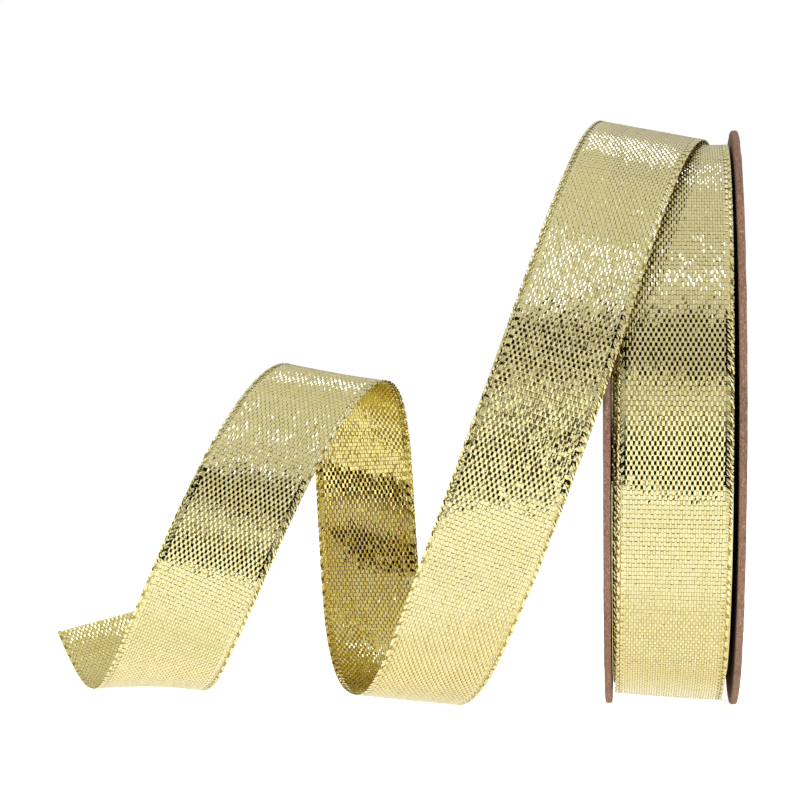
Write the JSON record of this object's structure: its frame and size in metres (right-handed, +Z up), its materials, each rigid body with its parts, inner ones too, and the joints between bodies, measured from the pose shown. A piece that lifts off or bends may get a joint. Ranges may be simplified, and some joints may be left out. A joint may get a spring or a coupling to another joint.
{
  "type": "ribbon spool",
  "caption": "Ribbon spool with two round board flanges on a paper core, wound with woven metallic ribbon whose loose outer end stands beside it in two open loops",
  "frame": {"origin": "centre of the spool, on the axis of the core's bore, half way between the two flanges", "axes": "+X along the spool's axis from the left flange to the right one, +Y to the back, +Z up"},
  "size_m": [0.1094, 0.0872, 0.0876],
  "materials": {
    "flange_board": "uncoated kraft board with crushed cut edges",
    "core_paper": "spiral wound kraft paper tube",
    "start_tape": "matte paper tape",
    "ribbon": "plain weave of flat metallised strips, pale gold"
  },
  "bodies": {
    "loose_ribbon": {"loose_turn": "ribbon", "ribbon_tail": "ribbon"},
    "spool": {"left_flange": "flange_board", "right_flange": "flange_board", "core_tube": "core_paper", "start_tape": "start_tape", "ribbon_winding": "ribbon"}
  },
  "joints": [
    {"name": "spool_turn", "type": "hinge", "parent": "loose_ribbon", "child": "spool", "pos_m": [0, 0, 0], "axis": [1, 0, 0], "continuous": true}
  ]
}
